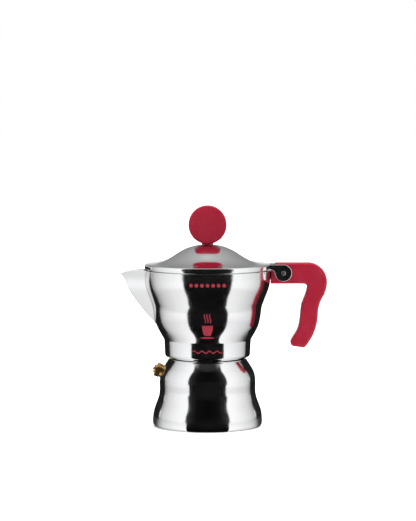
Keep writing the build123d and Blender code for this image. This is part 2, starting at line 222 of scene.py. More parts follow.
def plate(outline, low, high, edge):
    """A flat piece with a rounded edge on both faces, from an outline in X and Z, between two Y values."""
    points = np.array(outline, float)
    ahead = np.roll(points, -1, axis=0) - points
    behind = points - np.roll(points, 1, axis=0)
    area = 0.5 * np.sum(points[:, 0] * np.roll(points[:, 1], -1) - np.roll(points[:, 0], -1) * points[:, 1])
    along = ahead / np.linalg.norm(ahead, axis=1)[:, None] + behind / np.linalg.norm(behind, axis=1)[:, None]
    along /= np.linalg.norm(along, axis=1)[:, None]
    inward = np.stack([-along[:, 1], along[:, 0]], 1) * (1 if area > 0 else -1)
    steps = 5
    quarter = [math.radians(90 * i / steps) for i in range(steps + 1)]
    levels = [(edge * (1 - math.sin(a)), low + edge * (1 - math.cos(a))) for a in quarter]
    levels += [(edge * (1 - math.cos(a)), high - edge * (1 - math.sin(a))) for a in quarter]
    return capped_skin([[(x, y, z) for x, z in points + inward * inset] for inset, y in levels])


def cut(target, cutters, operation="DIFFERENCE"):
    """Cuts the cutters out of the target, or joins them to it, and removes them."""
    for cutter in cutters:
        step = target.modifiers.new("cut", "BOOLEAN")
        step.operation = operation
        step.solver = "EXACT"
        step.object = cutter
    graph = bpy.context.evaluated_depsgraph_get()
    graph.update()
    mesh = bpy.data.meshes.new_from_object(target.evaluated_get(graph))
    target.modifiers.clear()
    target.data = mesh
    mesh.set_sharp_from_angle(angle=math.radians(SHARP_ANGLE))
    for cutter in cutters:
        bpy.data.objects.remove(cutter)
    return target


def cylinder_along(name, origin, direction, radius, start, end, sides=96):
    """A plain cylinder used to cut or join, on an axis through the origin."""
    turn = Vector(direction).to_track_quat("Z", "Y").to_matrix()
    angles = np.arange(sides) * 2 * math.pi / sides
    rings = [[(0, 0, start)]]
    for height in (start, end):
        rings.append([(radius * math.cos(a), radius * math.sin(a), height) for a in angles])
    rings.append([(0, 0, end)])
    placed = [[Vector(origin) + turn @ Vector(point) for point in ring] for ring in rings]
    return finish_mesh(name, skin(placed))


# ---------------------------------------------------------------------------------------------------------
# Materials
# ---------------------------------------------------------------------------------------------------------

class Nodes:
    """Short names for building one material's nodes."""

    # Places of the colour sockets on a mix node, whose names are shared with its other sockets.
    MIX_LOW, MIX_HIGH, MIX_RESULT = 6, 7, 2

    def __init__(self, name):
        self.material = bpy.data.materials.new(name)
        self.material.use_nodes = True
        self.tree = self.material.node_tree
        self.shader = self.tree.nodes["Principled BSDF"]

    def add(self, kind, **settings):
        node = self.tree.nodes.new(kind)
        for key, value in settings.items():
            setattr(node, key, value)
        return node

    def link(self, source, target):
        self.tree.links.new(source, target)

    def math(self, operation, first, second=None):
        node = self.add("ShaderNodeMath", operation=operation)
        for socket, value in zip(node.inputs, (first, second)):
            if isinstance(value, bpy.types.NodeSocket):
                self.link(value, socket)
            elif value is not None:
                socket.default_value = value
        return node.outputs[0]

    def place(self):
        """The point on the surface, in metres, in the object's own frame."""
        return self.add("ShaderNodeTexCoord").outputs["Object"]

    def about_z(self, fine, round_scale):
        """A vector whose noise runs in thin lines round the Z axis, as a lathe or a polishing wheel leaves.

        fine is the number of noise cells per metre across the lines, round_scale per radian along them.
        """
        split = self.add("ShaderNodeSeparateXYZ")
        self.link(self.place(), split.inputs[0])
        x, y, z = split.outputs
        squares = self.math("ADD", self.math("MULTIPLY", x, x), self.math("MULTIPLY", y, y))
        radius = self.math("SQRT", squares)
        join = self.add("ShaderNodeCombineXYZ")
        self.link(self.math("MULTIPLY", radius, fine), join.inputs[0])
        self.link(self.math("MULTIPLY", z, fine), join.inputs[1])
        self.link(self.math("MULTIPLY", self.math("ARCTAN2", y, x), round_scale), join.inputs[2])
        return join.outputs[0]

    def noise(self, vector, scale, detail=3.0, roughness=0.5):
        node = self.add("ShaderNodeTexNoise")
        node.inputs["Scale"].default_value = scale
        node.inputs["Detail"].default_value = detail
        node.inputs["Roughness"].default_value = roughness
        self.link(vector, node.inputs["Vector"])
        return node.outputs["Fac"]

    def spread(self, value, low, high, start=0.3, end=0.7):
        """The value mapped from start..end to low..high, held at both ends."""
        node = self.add("ShaderNodeMapRange", clamp=True)
        for name, number in {"From Min": start, "From Max": end, "To Min": low, "To Max": high}.items():
            node.inputs[name].default_value = number
        self.link(value, node.inputs[0])
        return node.outputs[0]

    def tint(self, value, low, high):
        """Two colours mixed by a value."""
        node = self.add("ShaderNodeMix", data_type="RGBA")
        self.link(value, node.inputs["Factor"])
        node.inputs[self.MIX_LOW].default_value = (*low, 1)
        node.inputs[self.MIX_HIGH].default_value = (*high, 1)
        return node.outputs[self.MIX_RESULT]

    def bump(self, height, strength, distance):
        """Relief from a value: distance is its full height in metres."""
        node = self.add("ShaderNodeBump")
        node.inputs["Strength"].default_value = strength
        node.inputs["Distance"].default_value = distance
        self.link(height, node.inputs["Height"])
        self.link(node.outputs[0], self.shader.inputs["Normal"])

    def set(self, **values):
        """Sets or links the shader's sockets, whose names are written with _ in place of a space."""
        for key, value in values.items():
            socket = self.shader.inputs[key.replace("_", " ")]
            if isinstance(value, bpy.types.NodeSocket):
                self.link(value, socket)
            else:
                socket.default_value = value


def polished_aluminium():
    """Cast aluminium turned and buffed nearly to a mirror: faint rings round the axis, a few dull wipes."""
    n = Nodes("polished_aluminium")
    rings = n.noise(n.about_z(2600, 1.2), 1.0, 2.0)
    wipes = n.noise(n.place(), 28, 4.0, 0.6)
    n.set(Metallic=1.0, Base_Color=n.tint(n.spread(wipes, 0, 1), (0.87, 0.875, 0.885), (0.92, 0.922, 0.925)))
    n.set(Roughness=n.math("ADD", n.spread(rings, 0.075, 0.12), n.spread(wipes, 0.0, 0.03)))
    n.bump(rings, 0.05, 0.00002)
    return n.material


def plain_aluminium():
    """Drawn and turned sheet aluminium, left satin."""
    n = Nodes("plain_aluminium")
    rings = n.noise(n.about_z(1500, 2.0), 1.0, 3.0)
    stains = n.noise(n.place(), 90, 5.0, 0.6)
    n.set(Metallic=1.0, Base_Color=n.tint(n.spread(stains, 0, 1), (0.62, 0.62, 0.625), (0.76, 0.76, 0.765)))
    n.set(Roughness=n.math("ADD", n.spread(rings, 0.26, 0.4), n.spread(stains, 0.0, 0.08)))
    n.bump(rings, 0.25, 0.00004)
    return n.material


def steel():
    """Bright stainless steel with fine rubbed lines."""
    n = Nodes("steel")
    lines = n.noise(n.about_z(3200, 4.0), 1.0, 3.0)
    patches = n.noise(n.place(), 160, 3.0)
    n.set(Metallic=1.0, Base_Color=n.tint(n.spread(patches, 0, 1), (0.52, 0.52, 0.53), (0.66, 0.66, 0.67)))
    n.set(Roughness=n.spread(lines, 0.2, 0.34))
    n.bump(lines, 0.2, 0.00002)
    return n.material


def brass():
    """Turned brass with machining lines and a darker brown film in patches."""
    n = Nodes("brass")
    lines = n.noise(n.place(), 2400, 2.0)
    film = n.noise(n.place(), 420, 4.0, 0.65)
    patches = n.spread(film, 0, 1, 0.35, 0.65)
    n.set(Metallic=1.0, Base_Color=n.tint(patches, (0.62, 0.33, 0.10), (0.96, 0.58, 0.22)))
    n.set(Roughness=n.spread(film, 0.36, 0.2))
    n.bump(lines, 0.15, 0.00001)
    return n.material


def silicone():
    """Off-white silicone with a soft matt skin."""
    n = Nodes("silicone")
    cloud = n.noise(n.place(), 300, 4.0)
    grain = n.noise(n.place(), 5200, 2.0)
    n.set(Base_Color=n.tint(n.spread(cloud, 0, 1), (0.78, 0.76, 0.70), (0.88, 0.87, 0.83)))
    n.set(Roughness=n.spread(cloud, 0.48, 0.62))
    n.bump(grain, 0.2, 0.00004)
    return n.material


def fibre():
    """Pressed vulcanised fibre, flecked and matt."""
    n = Nodes("fibre")
    flecks = n.noise(n.place(), 2600, 4.0, 0.7)
    n.set(Base_Color=n.tint(n.spread(flecks, 0, 1), (0.30, 0.06, 0.035), (0.46, 0.13, 0.07)))
    n.set(Roughness=n.spread(flecks, 0.7, 0.85))
    n.bump(flecks, 0.4, 0.00005)
    return n.material


def red_plastic():
    """Moulded nylon with a fine satin grain, slightly cloudy in colour."""
    n = Nodes("red_plastic")
    cloud = n.noise(n.place(), 55, 4.0, 0.6)
    grain = n.noise(n.place(), 3000, 3.0, 0.55)
    n.set(Base_Color=n.tint(n.spread(cloud, 0, 1), (0.31, 0.002, 0.020), (0.34, 0.003, 0.024)))
    n.set(Roughness=n.math("ADD", n.spread(grain, 0.2, 0.28), n.spread(cloud, 0.0, 0.04)))
    n.set(Specular_IOR_Level=0.5)
    n.bump(grain, 0.3, 0.00005)
    return n.material


def red_print():
    """Printed red ink, a little uneven."""
    n = Nodes("red_print")
    cloud = n.noise(n.place(), 900, 4.0, 0.65)
    n.set(Base_Color=n.tint(n.spread(cloud, 0, 1), (0.27, 0.007, 0.024), (0.33, 0.011, 0.032)))
    n.set(Roughness=n.spread(cloud, 0.3, 0.42))
    n.bump(cloud, 0.15, 0.00002)
    return n.material


FINISHES = {make.__name__: make() for make in (
    polished_aluminium, plain_aluminium, steel, brass, silicone, fibre, red_plastic)}
PRINT = red_print()

node_slots = {part["node"]: part["material_slot"] for part in frame["record"]["subparts"]}
for node, shown in frame["nodes"].items():
    for place in shown.material_slots:
        place.material = FINISHES[node_slots[node]]


def stand_for(made, node, body):
    """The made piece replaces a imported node, rides on its body and takes its finish."""
    made.data.materials.clear()
    made.data.materials.append(FINISHES[node_slots[node]])
    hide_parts(node)
    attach(made, body)
    return made


# ---------------------------------------------------------------------------------------------------------
# Boiler
# ---------------------------------------------------------------------------------------------------------

WALL = 2.8
FLOOR_Z = 3.2
BASE_CORNER = 3.4
NECK_R = 24.0
NECK_BORE = 20.8
NECK_BORE_LOW = 42.8
NECK_CHAMFER = 0.5
NECK_SPACING = 0.15
SHOULDER = (25.6, 44.9)
THREAD_PITCH = 3.0
THREAD_DEPTH = 0.9
THREAD_LENGTH = 5.4
THREAD_START = NECK_TOP - THREAD_LENGTH - 1.2
THREAD_CREST = 0.85
THREAD_FLANK = 0.55
THREAD_FADE = 0.25
FLOOR_CORNER = 2.4
VALVE_TILT = math.radians(20.9)
VALVE_ORIGIN = (-29.75, 0, 36.0)
VALVE_AXIS = (-math.cos(VALVE_TILT), 0, math.sin(VALVE_TILT))
BOSS_R = 5.0
VALVE_SEAT_R = 4.3
VALVE_HOLE_R = 3.0


def boiler_wave(inset, low):
    """The boiler's wavy side from a height up to the shoulder, moved inwards by the inset."""
    return spline(
        [(BELLY_R - inset, low), (35.3 - inset, 11.0), (33.4 - inset, 16.4), (31.85 - inset, 21.9),
         (31.75 - inset, 28.5), (31.2 - inset, 34.3), (29.3 - inset, 39.0)],
        (0, 1), (-0.56, 1),
    )


def with_thread(angle, r, z):
    """Raises the helical ridge out of the neck's outer face."""
    if abs(r - NECK_R) > 0.01 or not THREAD_START - 1 < z < THREAD_START + THREAD_LENGTH + 1:
        return r, z
    climb = THREAD_PITCH * angle / (2 * math.pi)
    off = (z - THREAD_START - climb + THREAD_PITCH / 2) % THREAD_PITCH - THREAD_PITCH / 2
    along = z - THREAD_START - off
    fade = min(1, max(0, along / THREAD_FADE), max(0, (THREAD_LENGTH - along) / THREAD_FADE))
    ridge = min(1, max(0, (THREAD_CREST - abs(off)) / THREAD_FLANK))
    return r + THREAD_DEPTH * ridge * fade, z


def make_boiler():
    """The lower vessel: base, wavy side, threaded neck and inner face, with a boss and seat for the valve."""
    neck_foot, neck_head = (NECK_R, SHOULDER[1] + 0.6), (NECK_R, NECK_TOP - NECK_CHAMFER)
    inside = boiler_wave(WALL, FLOOR_Z + FLOOR_CORNER)
    outline = rounded(
        [(0, 0), (BELLY_R, 0, BASE_CORNER), *boiler_wave(0, BASE_CORNER), (*SHOULDER, 0.4), neck_foot,
         *divided(neck_foot, neck_head, NECK_SPACING), neck_head, (NECK_R - NECK_CHAMFER, NECK_TOP, 0.15),
         (NECK_BORE, NECK_TOP, 0.3), (NECK_BORE, NECK_BORE_LOW, 0.6), *reversed(inside),
         (BELLY_R - WALL, FLOOR_Z, FLOOR_CORNER), (0, FLOOR_Z)]
    )
    made = finish_mesh("boiler_shell", skin(turned_rings(outline, with_thread)))
    boss = cylinder_along("boss", VALVE_ORIGIN, VALVE_AXIS, BOSS_R, start=-4.4, end=-0.6)
    cut(made, [boss], "UNION")
    seat = cylinder_along("seat", VALVE_ORIGIN, VALVE_AXIS, VALVE_SEAT_R, start=0, end=4)
    hole = cylinder_along("hole", VALVE_ORIGIN, VALVE_AXIS, VALVE_HOLE_R, start=-8, end=2)
    return cut(made, [seat, hole])


# The valve's spring. Its heights are along the valve's axis, from the valve's origin.
SPRING_R = 1.3
SPRING_WIRE_R = 0.22
SPRING_LOW = -2.38
SPRING_HIGH = 4.58
SPRING_TURNS = 7


def valve_point(across, sideways, along):
    """A point of the valve's own frame, in the pot's frame, both in millimetres."""
    x, y, z = VALVE_ORIGIN
    lean, rise = math.sin(VALVE_TILT), math.cos(VALVE_TILT)
    return x + across * lean - along * rise, y + sideways, z + across * rise + along * lean


def make_spring():
    """A coil spring of round wire, whose first and last turns lie closed."""
    wire = 2 * SPRING_WIRE_R
    low, high = SPRING_LOW + SPRING_WIRE_R, SPRING_HIGH - SPRING_WIRE_R
    rings = []
    for turn in np.linspace(0, SPRING_TURNS, SPRING_TURNS * 24 + 1):
        centre = np.interp(turn, (0, 1, SPRING_TURNS - 1, SPRING_TURNS), (low, low + wire, high - wire, high))
        angle = 2 * math.pi * turn
        ring = []
        for r, along in arc((SPRING_R, centre), SPRING_WIRE_R, 0, 330, 11):
            ring.append(valve_point(r * math.cos(angle), r * math.sin(angle), along))
        rings.append(ring)
    return finish_mesh("valve_coil", capped_skin(rings))


# ---------------------------------------------------------------------------------------------------------
# Collector
# ---------------------------------------------------------------------------------------------------------

COLLECTOR_WALL = 2.3
SKIRT_R = 28.2
SKIRT_BORE = 25.3
SEAT_BORE = 20.0
LOWER_CREASE = (28.7, 57.5)
UPPER_CREASE = (35.8, 79.6)
RIM_Z = 103.6
INNER_FLOOR = 61.4
COLUMN_TOP = 94.0
COLUMN_BORE = 2.4
COLUMN_ROOF = 2.2
COLUMN_ZONE_R = 20
THROAT_RISE = 1.3
OUTLET_SIZE = (3.2, 20, 4.4)
OUTLET_DROP = 5.4
SPOUT_HALF_ANGLE = math.radians(25)
SPOUT_REACH_ANGLE = math.radians(30)
SPOUT_WALL = 1.9
INNER_POINT_GAIN = 0.6
RIDGE_ROUND = 0.7
RIDGE_ROUND_INSIDE = 0.9
SPOUT_FILLET = 0.8
LIP_Z = 98.6
SPOUT_RIDGE = spline(
    [(64.0, 30.2), (73.8, 39.6), (83.2, 47.1), (91.8, 52.4), (LIP_Z, 55.4), (RIM_Z, 60.7)],
    (1, 0.98), (1, 1.05),
)
RIDGE_HEIGHTS, RIDGE_REACHES = np.array(SPOUT_RIDGE).T


def lower_bulge(inset, start):
    """The collector's side from a point up to its upper crease, moved inwards by the inset."""
    return spline(
        [start, (33.1 - inset, 65.5), (35.0 - inset, 72.6), (UPPER_CREASE[0] - inset, UPPER_CREASE[1])],
        (0.52, 1), (0.09, 1),
    )


def upper_bulge(inset):
    """The collector's side from its upper crease to the foot of the lip, moved inwards by the inset."""
    return spline(
        [(UPPER_CREASE[0] - inset, UPPER_CREASE[1]), (38.1 - inset, 85.2), (40.5 - inset, 91.8),
         (RIM_R - inset, LIP_Z)],
        (0.5, 1), (0, 1),
    )


def three_point_circle(a, b, c):
    """Centre and radius of the circle through three points."""
    (ax, ay), (bx, by), (cx, cy) = a, b, c
    d = 2 * (ax * (by - cy) + bx * (cy - ay) + cx * (ay - by))
    sa, sb, sc = ax * ax + ay * ay, bx * bx + by * by, cx * cx + cy * cy
    ux = (sa * (by - cy) + sb * (cy - ay) + sc * (ay - by)) / d
    uy = (sa * (cx - bx) + sb * (ax - cx) + sc * (bx - ax)) / d
    return (ux, uy), math.dist((ux, uy), a)


SPOUT_RIM_START = 40.5
SPOUT_RIM_CENTRE, SPOUT_RIM_RADIUS = three_point_circle(
    (SPOUT_RIM_START, RIM_Z), (51.2, 102.9), (58.1, 101.1))


def spout_rim_z(reach):
    """Height of the spout's rim at a distance from the axis along the spout."""
    if reach <= SPOUT_RIM_START:
        return RIM_Z
    return SPOUT_RIM_CENTRE[1] + math.sqrt(SPOUT_RIM_RADIUS ** 2 - (reach - SPOUT_RIM_CENTRE[0]) ** 2)


def vee_radius(turn, point, round_r):
    """Distance from the axis to a level V whose rounded point is at a distance along the spout."""
    centre = point - round_r
    sharp = centre + round_r / math.sin(SPOUT_HALF_ANGLE)
    tangent = math.atan2(round_r * math.cos(SPOUT_HALF_ANGLE), centre + round_r * math.sin(SPOUT_HALF_ANGLE))
    if turn < tangent:
        return centre * math.cos(turn) + math.sqrt(max(0, round_r ** 2 - (centre * math.sin(turn)) ** 2))
    return sharp * math.sin(SPOUT_HALF_ANGLE) / math.sin(SPOUT_HALF_ANGLE + turn)


def blended_max(first, second, soft):
    """The larger of two lengths, with a small fillet where they meet."""
    near = max(soft - abs(first - second), 0) / soft
    return max(first, second) + near * near * soft / 4


def with_spout(angle, r, z):
    """Pulls the wall out into the spout. Thickness runs from 0 on the inner face to 1 on the outer.

    Above the foot of the lip the height and the reach depend on each other, so both are refined in turn.
    """
    turn = abs(math.pi - angle % (2 * math.pi))
    if turn > SPOUT_REACH_ANGLE or z < RIDGE_HEIGHTS[0] or r < COLUMN_ZONE_R:
        return r, z
    wall_r = np.interp(z, BODY_HEIGHTS, BODY_RADII)
    thickness = min(1, max(0, (r - wall_r + COLLECTOR_WALL) / COLLECTOR_WALL))
    inner_shift = SPOUT_WALL / math.sin(SPOUT_HALF_ANGLE) - INNER_POINT_GAIN
    height, reach = z, r
    for _ in range(6):
        ridge = np.interp(height, RIDGE_HEIGHTS, RIDGE_REACHES)
        outer = vee_radius(turn, ridge, RIDGE_ROUND)
        inner = vee_radius(turn, ridge - inner_shift, RIDGE_ROUND_INSIDE)
        radius = blended_max(r, inner + (outer - inner) * thickness, SPOUT_FILLET)
        reach = radius * math.cos(turn)
        if z > LIP_Z:
            height = LIP_Z + (z - LIP_Z) * (spout_rim_z(reach) - LIP_Z) / (RIM_Z - LIP_Z)
    return radius, height


def spout_angles():
    """Angles round the collector, closer together across the spout."""
    fan = math.radians(14)
    across = np.linspace(math.pi - fan, math.pi + fan, 121)
    rest = np.linspace(math.pi + fan, 3 * math.pi - fan, 231)[1:-1] % (2 * math.pi)
    return np.sort(np.concatenate([across, rest]))


# The crease between the bulges is rounded wide, so the curves' points beside it are left out.
OUTER_WALL = rounded(
    [*lower_bulge(0, LOWER_CREASE)[:-3], (*UPPER_CREASE, 18.0), *upper_bulge(0)[3:],
     *divided((RIM_R, LIP_Z), (RIM_R, RIM_Z), 0.7)]
)
BODY_RADII, BODY_HEIGHTS = np.array(OUTER_WALL + [(RIM_R, RIM_Z)]).T


def make_collector():
    """The upper vessel, from the column's top over the inner face, the rim and the outer face to its bore."""
    column = [(0, COLUMN_TOP), (2.6, COLUMN_TOP, 0.5), (4.0, COLUMN_TOP - 2.0, 0.5),
              (5.4, INNER_FLOOR + 3.0, 4), (7.5, INNER_FLOOR, 1.0)]
    inner_wall = [(28.0, INNER_FLOOR, 2.0), *lower_bulge(COLLECTOR_WALL, (28.6, INNER_FLOOR + 1.6))[:-1],
                  *upper_bulge(COLLECTOR_WALL)]
    inner_r = RIM_R - COLLECTOR_WALL
    rim = [*divided((inner_r, LIP_Z), (inner_r, RIM_Z), 0.7), (inner_r, RIM_Z, 0.35), (RIM_R, RIM_Z, 0.4)]
    skirt_end = SKIRT_LOW + 0.01
    skirt = [(*LOWER_CREASE, 0.5), (SKIRT_R, SKIRT_LOW + 2.2), (SKIRT_R, skirt_end, 2.0),
             (SKIRT_BORE, skirt_end, 0.3), (SKIRT_BORE, SEAT_Z, 0.3), (SEAT_BORE, SEAT_Z)]
    bore = [(SEAT_BORE - 1.5, SEAT_Z + THROAT_RISE, 0.4), (COLUMN_BORE, SEAT_Z + THROAT_RISE, 0.3),
            (COLUMN_BORE, COLUMN_TOP - COLUMN_ROOF, 0.5), (0, COLUMN_TOP - COLUMN_ROOF)]
    outline = rounded([*column, *inner_wall, *rim, *reversed(OUTER_WALL[1:]), *skirt, *bore])
    made = finish_mesh("collector_vessel", skin(turned_rings(outline, with_spout, spout_angles())))
    outlet = bmesh.new()
    bmesh.ops.create_cube(outlet, size=1)
    bmesh.ops.scale(outlet, vec=OUTLET_SIZE, verts=outlet.verts[:])
    bmesh.ops.translate(outlet, vec=(0, 0, COLUMN_TOP - OUTLET_DROP), verts=outlet.verts[:])
    return cut(made, [finish_mesh("outlet", outlet)])


LUG_R = 4.3
LUG_HALF = 2.4
LUG_EDGE = 0.3
LUG_FOOT_X = 39.9
LUG_SHOULDER_X = 44.0
LUG_TOP = RIM_Z - 0.8


def make_lug():
    """The tongue inside the handle's root. Its foot ends inside the collector's wall."""
    outline = [(LUG_FOOT_X, PIVOT.z - LUG_R), (PIVOT.x, PIVOT.z - LUG_R),
               *arc((PIVOT.x, PIVOT.z), LUG_R, -90, 90)[1:-1],
               (PIVOT.x, PIVOT.z + LUG_R), (LUG_SHOULDER_X, LUG_TOP), (LUG_FOOT_X, LUG_TOP)]
    return finish_mesh("collector_lug", plate(outline, -LUG_HALF, LUG_HALF, LUG_EDGE))


# ---------------------------------------------------------------------------------------------------------
# Lid
# ---------------------------------------------------------------------------------------------------------

LID_GAP = 0.15
SEAM_WIDENING = 0.3
LID_RIM_TOP = 107.4
DOME_FOOT = (36.5, 107.75)
LID_SHEET = 1.7
EAR_R = 5.6
EAR_THICK = 2.0
EAR_GAP = 0.3
EAR_EDGE = 0.6
EAR_FOOT = (38.4, 105.8)
EAR_HOLLOW_R = 2.2
EAR_HOLLOW_X = 42.0
EAR_HOLLOW_END = 101.2
RING_THICK = 1.1
RING_GAP = 0.5
RING_DROP = 1.3
RIM_THICK = 1.9
SCREW_HOLE_R = 2.15
PIN_GAP = 0.05


def ear_outline():
    """An arm from the lid's rim, a round end about the pin, and a hollow between them."""
    hollow = (EAR_HOLLOW_X, RIM_Z + LID_GAP - EAR_HOLLOW_R)
    eye_end = 180 + math.degrees(math.asin((PIVOT.z - EAR_HOLLOW_END) / EAR_R))
    hollow_start = math.degrees(math.asin((EAR_HOLLOW_END - hollow[1]) / EAR_HOLLOW_R))
    head = (EAR_FOOT[0], LID_RIM_TOP)
    return [
        EAR_FOOT, head, *divided(head, (PIVOT.x, LID_RIM_TOP), 1.0),
        *arc((PIVOT.x, PIVOT.z), EAR_R, 90, eye_end - 360, 60),
        *arc(hollow, EAR_HOLLOW_R, hollow_start, 88, 16),
    ]


def make_lid():
    """The lid: rim, dome, inner face and a locating ring under it, with two ears for the hinge pin."""
    under = RIM_Z + LID_GAP + SEAM_WIDENING
    dome = spline(
        [DOME_FOOT, (31.5, 108.6), (25.7, 111.0), (20.4, 114.3), (14.5, 117.55), (2.2, DOME_TOP - 0.03)],
        (-1, 0.07), (-1, 0.02),
    )
    land = DOME_TOP - LID_SHEET - 0.3
    inside = spline(
        [(5.2, land), (14.2, 115.8), (20.0, 112.5), (25.0, 109.6), (30.5, 107.15), (DOME_FOOT[0], 106.0)],
        (1, -0.1), (1, -0.1),
    )
    ring_r = RIM_R - COLLECTOR_WALL - RING_GAP
    ring_bore = ring_r - RING_THICK
    ring_low = RIM_Z - RING_DROP
    groove_top = LID_RIM_TOP - 1.8
    rim = [(RIM_R - RIM_THICK, under), (RIM_R, under, 0.4), (RIM_R, LID_RIM_TOP, 1.1)]
    screw_hole = [(SCREW_HOLE_R, DOME_TOP - 0.1), (SCREW_HOLE_R, land)]
    ring = [(ring_bore, LID_RIM_TOP - 1.6, 0.4), (ring_bore, ring_low, 0.3), (ring_r, ring_low, 0.3)]
    groove = [(ring_r, groove_top, 0.2), (RIM_R - RIM_THICK, groove_top, 0.2)]
    outline = rounded([*rim, *dome, *screw_hole, *inside, *ring, *groove])
    made = finish_mesh("lid_shell", skin(turned_rings(outline), closed=True))
    near_face = -(HANDLE_HALF + EAR_GAP)
    ears = []
    for name, low in (("near_ear", near_face - EAR_THICK), ("far_ear", -near_face)):
        ears.append(finish_mesh(name, plate(ear_outline(), low, low + EAR_THICK, EAR_EDGE)))
    cut(made, ears, "UNION")
    return cut(made, [cylinder_along("pin_hole", PIVOT, (0, 1, 0), PIN_R + PIN_GAP, start=-12, end=12)])


# ---------------------------------------------------------------------------------------------------------
# Printed marks: plain shapes in red ink on the collector's front, in place of lettering
# ---------------------------------------------------------------------------------------------------------

INK = 0.03
DOTS = 7
DOT_R = 1.2
DOT_PITCH = 3.6
DOTS_Z = 96.4
CUP_LOW = 63.0
CUP_RISE = 0.68
CUP_MOUTH_R = 3.6
CUP_TAPER = 1.6
SAUCER_WIDTH = 9.0
SAUCER_Z = 61.5
STEAM_LOW = 71.6
STEAM_RISE = 0.48
STEAM_SWAY = 0.45
STEAM_HALF = 0.35
STEAM_PITCH = 1.7
WAVE_WIDTH = 20
WAVE_Z = 51.9
WAVE_SWING = 0.75
WAVE_HALF = 0.42
PRINT_RADII, PRINT_HEIGHTS = np.array([(SKIRT_R, SKIRT_LOW + 2), *OUTER_WALL, (RIM_R, RIM_Z)]).T


def printed(name, rows):
    """A thin printed patch from rows of (x, z) points, wrapped on the collector's front."""
    faces = []
    for lift in (0.0, INK):
        level = []
        for row in rows:
            line = []
            for x, z in row:
                r = np.interp(z, PRINT_HEIGHTS, PRINT_RADII) + lift
                line.append((r * math.sin(x / r), -r * math.cos(x / r), z))
            level.append(line)
        faces.append(level)
    inner, outer = faces
    return finish_mesh(name, capped_skin([[*a, *reversed(b)] for a, b in zip(outer, inner)]), sharp=60)


def strip(centre, half_width, steps=12, across=6):
    """Rows of points along a line, where centre(t) is a point and half_width(t) half its height."""
    rows = []
    for i in range(steps + 1):
        t = i / steps
        x, z = centre(t)
        rows.append([(x, z + half_width(t) * (2 * j / across - 1)) for j in range(across + 1)])
    return rows


def make_marks():
    """A row of dots, a cup on a saucer with three wisps of steam over it, and a wave line on the skirt."""
    marks = []
    for i in range(DOTS):
        x = (i - (DOTS - 1) / 2) * DOT_PITCH
        disc = strip(lambda t: (x - DOT_R * math.cos(math.pi * t), DOTS_Z),
                     lambda t: 0.05 + DOT_R * math.sin(math.pi * t), 14)
        marks.append(printed(f"print_dot_{i + 1}", disc))
    cup = [[(u * (CUP_MOUTH_R - CUP_TAPER * (1 - k / 10) ** 2), CUP_LOW + CUP_RISE * k)
            for u in np.linspace(-1, 1, 11)] for k in range(11)]
    marks.append(printed("print_cup", cup))
    saucer = strip(lambda t: (SAUCER_WIDTH * (t - 0.5), SAUCER_Z),
                   lambda t: 0.08 + 0.5 * math.sin(math.pi * t) ** 0.5, 16)
    marks.append(printed("print_saucer", saucer))
    for i, x in enumerate((-STEAM_PITCH, 0.0, STEAM_PITCH)):
        steam = [[(x + STEAM_SWAY * math.sin(2 * math.pi * k / 12) + STEAM_HALF * u,
                   STEAM_LOW + STEAM_RISE * k) for u in (-1, -0.5, 0, 0.5, 1)] for k in range(13)]
        marks.append(printed(f"print_steam_{i + 1}", steam))
    wave = strip(lambda t: (WAVE_WIDTH * (t - 0.5), WAVE_Z + WAVE_SWING * math.sin(8 * math.pi * t)),
                 lambda t: WAVE_HALF, 96, 2)
    marks.append(printed("print_wave", wave))
    for mark in marks:
        mark.data.materials.append(PRINT)
        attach(mark, "upper")


# ---------------------------------------------------------------------------------------------------------
# Build the pieces
# ---------------------------------------------------------------------------------------------------------

stand_for(make_boiler(), "boiler", "base")
stand_for(make_collector(), "collector", "upper")
lug = make_lug()
lug.data.materials.append(FINISHES["polished_aluminium"])
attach(lug, "upper")
stand_for(make_lid(), "lid", "cover")
make_marks()
spring = make_spring()
stand_for(spring, "valve_spring", "base")
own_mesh(spring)


# ---------------------------------------------------------------------------------------------------------
# Studio
# ---------------------------------------------------------------------------------------------------------

def emitter(name, strength):
    """A plain light-giving material. A strength of None reads the mesh's own glow values."""
    material = bpy.data.materials.new(name)
    material.use_nodes = True
    tree = material.node_tree
    tree.nodes.clear()
    glow = tree.nodes.new("ShaderNodeEmission")
    out = tree.nodes.new("ShaderNodeOutputMaterial")
    tree.links.new(glow.outputs[0], out.inputs["Surface"])
    if strength is None:
        reader = tree.nodes.new("ShaderNodeAttribute")
        reader.attribute_name = "glow"
        tree.links.new(reader.outputs["Fac"], glow.inputs["Strength"])
    else:
        glow.inputs["Strength"].default_value = strength
    return material


def studio(name, mesh, material):
    """A card that only the object's gloss sees."""
    made = add_object(name, mesh)
    mesh.materials.append(material)
    made.visible_camera = made.visible_diffuse = made.visible_shadow = made.visible_transmission = False
    return made


def glow_card(name, points, faces, glow):
    """A card whose brightness is given at each of its points."""
    mesh = bpy.data.meshes.new(name)
    mesh.from_pydata(points, [], faces)
    mesh.attributes.new("glow", "FLOAT", "POINT").data.foreach_set("value", glow)
    return studio(name, mesh, emitter(name, None))


SKY_R = 1.3
SKY_CENTRE_Z = 0.07


def sky_card(name, azimuths, elevations, brightness):
    """Part of a sphere about the pot. Azimuth 0 is towards the camera, and grows towards +X."""
    points, glow, faces = [], [], []
    for e in elevations:
        for a in azimuths:
            up, side = math.radians(e), math.radians(a)
            level_r, height = SKY_R * math.cos(up), SKY_CENTRE_Z + SKY_R * math.sin(up)
            points.append((level_r * math.sin(side), -level_r * math.cos(side), height))
            glow.append(brightness(a, e))
    width = len(azimuths)
    for i in range(len(elevations) - 1):
        for j in range(width - 1):
            k = i * width + j
            faces.append((k, k + 1, k + width + 1, k + width))
    return glow_card(name, points, faces, glow)


